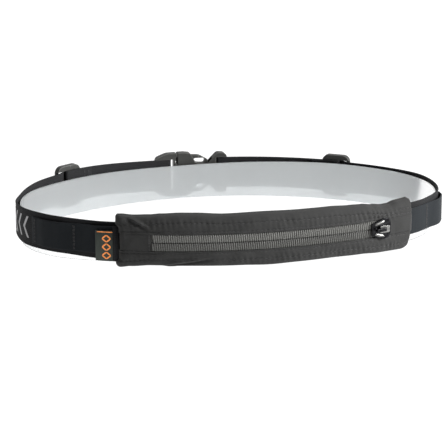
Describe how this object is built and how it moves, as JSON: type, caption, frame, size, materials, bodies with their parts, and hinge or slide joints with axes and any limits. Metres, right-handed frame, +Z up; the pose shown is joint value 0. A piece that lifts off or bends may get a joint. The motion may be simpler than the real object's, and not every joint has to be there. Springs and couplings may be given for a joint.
{
  "type": "money belt",
  "caption": "Elastic running belt with a zipped stretch pouch, gel loops, slide adjusters and a side-release buckle, held open on a clear shaping hoop.",
  "frame": {"origin": "centre of the footprint, on the surface that the belt and hoop stand on", "axes": "+Z up; the pouch and its zip face -Y, the buckle is at +Y, +X is the end where the closed zip's slider rests"},
  "size_m": [0.3286, 0.2086, 0.039],
  "materials": {
    "pouch_fabric": "matt charcoal stretch knit",
    "label_ribbon": "dark woven satin ribbon with an orange pattern",
    "zip_tape": "grey ribbed zip tape",
    "zip_coil": "grey moulded nylon coil",
    "dark_metal": "black nickel plate",
    "bright_metal": "bright tumbled nickel",
    "webbing": "black ribbed elastic webbing",
    "thread": "dark grey polyester thread",
    "hardware_plastic": "dark grey moulded acetal, fine texture",
    "clear_sheet": "frosted translucent sheet"
  },
  "bodies": {
    "belt": {"pouch_back_panel": "pouch_fabric", "pouch_upper_panel": "pouch_fabric", "pouch_lower_panel": "pouch_fabric", "zip_end_patch_left": "pouch_fabric", "zip_end_patch_right": "pouch_fabric", "woven_label": "label_ribbon", "zip_bottom_stop": "dark_metal", "strap_left": "webbing", "strap_right": "webbing", "gel_loop_strip_left": "webbing", "gel_loop_strip_right": "webbing", "gel_loop_stitches_left": "thread", "gel_loop_stitches_right": "thread", "strap_tail_stitches_left": "thread", "slide_adjuster_left": "hardware_plastic", "buckle_plug": "hardware_plastic"},
    "zip_half_upper": {"zip_tape_upper": "zip_tape", "zip_coil_upper": "zip_coil", "zip_top_stop_upper": "dark_metal"},
    "zip_half_lower": {"zip_tape_lower": "zip_tape", "zip_coil_lower": "zip_coil", "zip_top_stop_lower": "dark_metal"},
    "slider": {"zip_slider": "dark_metal"},
    "pull": {"zip_pull": "bright_metal"},
    "buckle_half": {"buckle_socket": "hardware_plastic", "strap_right_loop": "webbing", "slide_adjuster_right": "hardware_plastic", "strap_tail_stitches_right": "thread"},
    "prong_upper": {"buckle_prong_upper": "hardware_plastic"},
    "prong_lower": {"buckle_prong_lower": "hardware_plastic"},
    "hoop": {"display_hoop": "clear_sheet"}
  },
  "joints": [
    {"name": "zip_slide", "type": "hinge", "parent": "belt", "child": "slider", "pos_m": [-0.00017, 0.20795, 0.019], "axis": [0, 0, -1], "range_deg": [0, 31.3]},
    {"name": "zip_lip_upper", "type": "hinge", "parent": "belt", "child": "zip_half_upper", "pos_m": [-0.07064, -0.09486, 0.019], "axis": [0, -1, 0], "range_deg": [0, 0.9]},
    {"name": "zip_lip_lower", "type": "hinge", "parent": "belt", "child": "zip_half_lower", "pos_m": [-0.07064, -0.09486, 0.019], "axis": [0, 1, 0], "range_deg": [0, 0.9]},
    {"name": "pull_swing", "type": "hinge", "parent": "slider", "child": "pull", "pos_m": [0.10467, -0.08931, 0.019], "axis": [0, 0, -1], "range_deg": [0, 160]},
    {"name": "buckle_release", "type": "hinge", "parent": "belt", "child": "buckle_half", "pos_m": [-0.00017, -0.11415, 0.019], "axis": [0, 0, -1], "range_deg": [0, 7.4]},
    {"name": "prong_squeeze_upper", "type": "hinge", "parent": "belt", "child": "prong_upper", "pos_m": [-0.02279, 0.09986, 0.0314], "axis": [-0.1097, 0.994, 0], "range_deg": [0, 12]},
    {"name": "prong_squeeze_lower", "type": "hinge", "parent": "belt", "child": "prong_lower", "pos_m": [-0.02279, 0.09986, 0.0066], "axis": [0.1097, -0.994, 0], "range_deg": [0, 12]},
    {"name": "hoop_lift", "type": "slide", "parent": "belt", "child": "hoop", "axis": [0, 0, 1], "range_m": [0, 0.06]}
  ],
  "couplings": [
    {"joint": "zip_lip_upper", "follows": "zip_slide", "ratio": 0.0275},
    {"joint": "zip_lip_lower", "follows": "zip_slide", "ratio": 0.0275},
    {"joint": "prong_squeeze_upper", "follows": "buckle_release", "ratio": 1.61},
    {"joint": "prong_squeeze_lower", "follows": "buckle_release", "ratio": 1.61}
  ]
}
